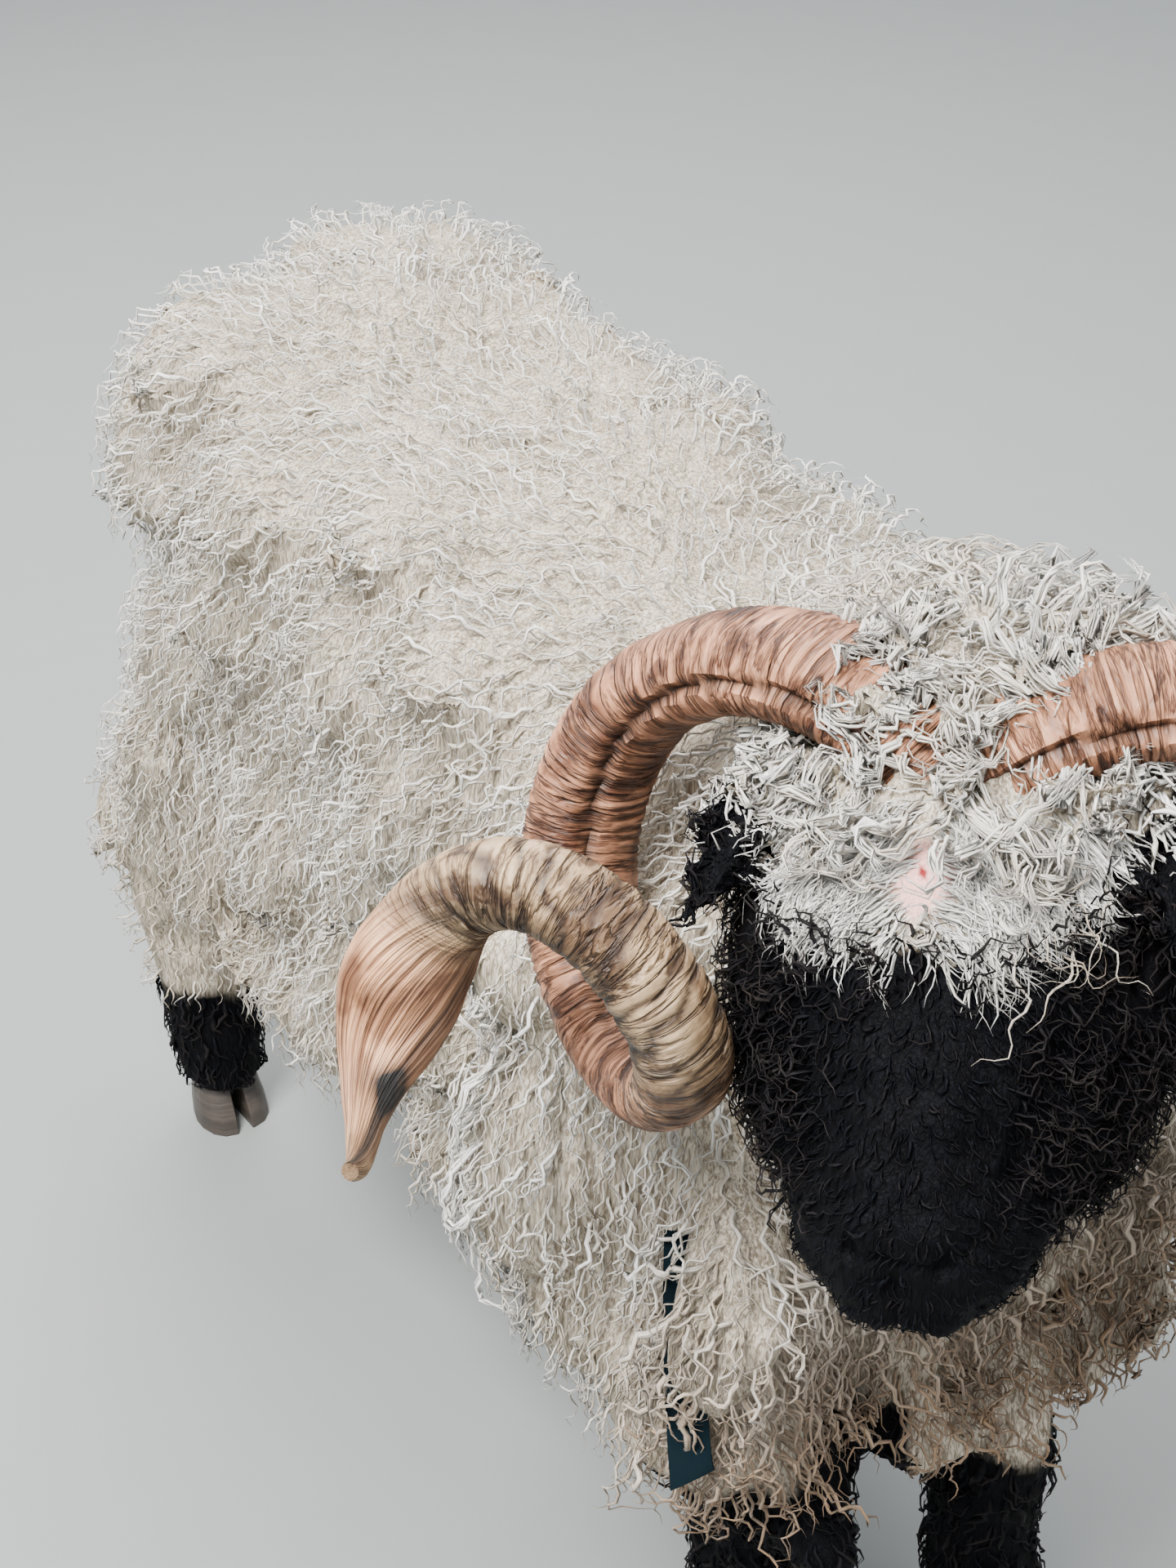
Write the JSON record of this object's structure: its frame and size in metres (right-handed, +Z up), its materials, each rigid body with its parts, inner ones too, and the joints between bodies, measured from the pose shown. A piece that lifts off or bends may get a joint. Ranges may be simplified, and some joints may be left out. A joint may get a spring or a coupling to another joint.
{
  "type": "valais blacknose sheep",
  "caption": "Horned ram of a long-woolled mountain breed with a black face, ears and legs, standing with its head turned, as a life-size still model.",
  "frame": {"origin": "centre of the model's box, on the floor that its claws stand on", "axes": "+Z up, -Y the way the body faces, +X the ram's left"},
  "size_m": [0.6306, 1.4074, 0.9189],
  "materials": {
    "fleece": "cream wool in thin wavy locks",
    "black_wool": "short black wool with a faint blue sheen",
    "horn": "ringed horn keratin, satin",
    "eye": "wet dark eye",
    "hoof": "dark hoof keratin",
    "webbing": "dark blue-green woven webbing"
  },
  "bodies": {
    "root": {"torso": "fleece", "neck": "fleece", "tail": "fleece", "head": "black_wool", "strap_end": "webbing", "horn_left": "horn", "ear_left": "black_wool", "eye_left": "eye", "horn_right": "horn", "ear_right": "black_wool", "eye_right": "eye", "foreleg_left_upper": "fleece", "foreleg_left_lower": "black_wool", "fore_left_claw_left": "hoof", "fore_left_claw_right": "hoof", "foreleg_right_upper": "fleece", "foreleg_right_lower": "black_wool", "fore_right_claw_left": "hoof", "fore_right_claw_right": "hoof", "hindleg_left_upper": "fleece", "hindleg_left_lower": "black_wool", "hind_left_claw_left": "hoof", "hind_left_claw_right": "hoof", "hindleg_right_upper": "fleece", "hindleg_right_lower": "black_wool", "hind_right_claw_left": "hoof", "hind_right_claw_right": "hoof"}
  },
  "joints": []
}
